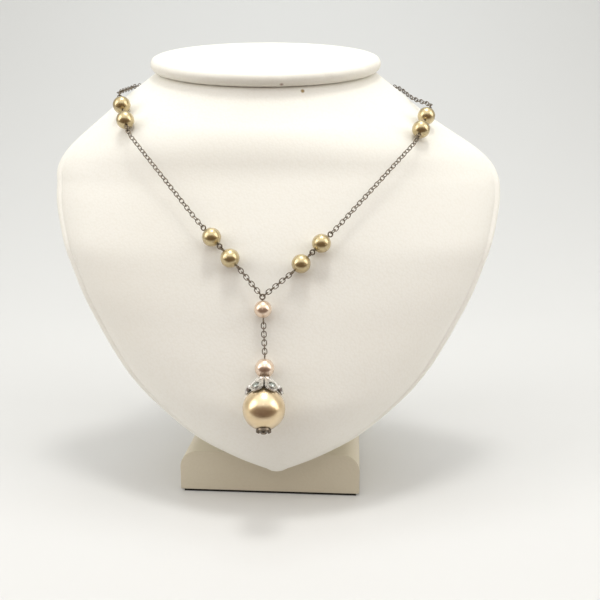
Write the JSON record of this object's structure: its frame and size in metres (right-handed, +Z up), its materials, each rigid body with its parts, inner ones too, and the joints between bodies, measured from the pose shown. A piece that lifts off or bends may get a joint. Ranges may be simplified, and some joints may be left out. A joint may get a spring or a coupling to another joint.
{
  "type": "lavaliere necklace on neck bust",
  "caption": "Fine cable-link necklace with pearl beads in pairs and a pearl drop at the middle, laid on a padded neck bust with a block foot.",
  "frame": {"origin": "on the floor, under the middle of the whole object's bounding box", "axes": "+Z up; the bust faces -Y, with its flat back and its board towards +Y; +X is to the right as seen from the front"},
  "size_m": [0.2126, 0.1478, 0.2135],
  "materials": {
    "bust_cover": "matte",
    "felt": "matte",
    "dark_metal": "satin",
    "cap_metal": "satin",
    "golden_pearl": "gloss",
    "blush_pearl": "gloss",
    "stone": "gloss"
  },
  "bodies": {
    "root": {"chest": "bust_cover", "neck_cap": "bust_cover", "back_board": "bust_cover", "foot": "bust_cover", "foot_felt": "felt", "front_chain_left": "dark_metal", "front_chain_right": "dark_metal", "side_chain_left": "dark_metal", "side_chain_right": "dark_metal", "back_chain_left": "dark_metal", "back_chain_right": "dark_metal", "drop_chain": "dark_metal", "clasp": "dark_metal", "pearl_left_1": "golden_pearl", "pearl_left_2": "golden_pearl", "pearl_left_3": "golden_pearl", "pearl_left_4": "golden_pearl", "pearl_right_1": "golden_pearl", "pearl_right_2": "golden_pearl", "pearl_right_3": "golden_pearl", "pearl_right_4": "golden_pearl", "eye_pin_left_1": "dark_metal", "eye_pin_left_2": "dark_metal", "eye_pin_left_3": "dark_metal", "eye_pin_left_4": "dark_metal", "eye_pin_right_1": "dark_metal", "eye_pin_right_2": "dark_metal", "eye_pin_right_3": "dark_metal", "eye_pin_right_4": "dark_metal", "drop_top_pearl": "blush_pearl", "drop_top_pin": "dark_metal", "drop_lower_pearl": "blush_pearl", "large_pearl": "blush_pearl", "head_pin": "dark_metal", "bead_cap": "cap_metal", "cap_stone_1": "stone", "cap_stone_2": "stone", "cap_stone_3": "stone", "cap_stone_4": "stone", "cap_stone_5": "stone", "cap_stone_6": "stone", "finial": "dark_metal"}
  },
  "joints": []
}
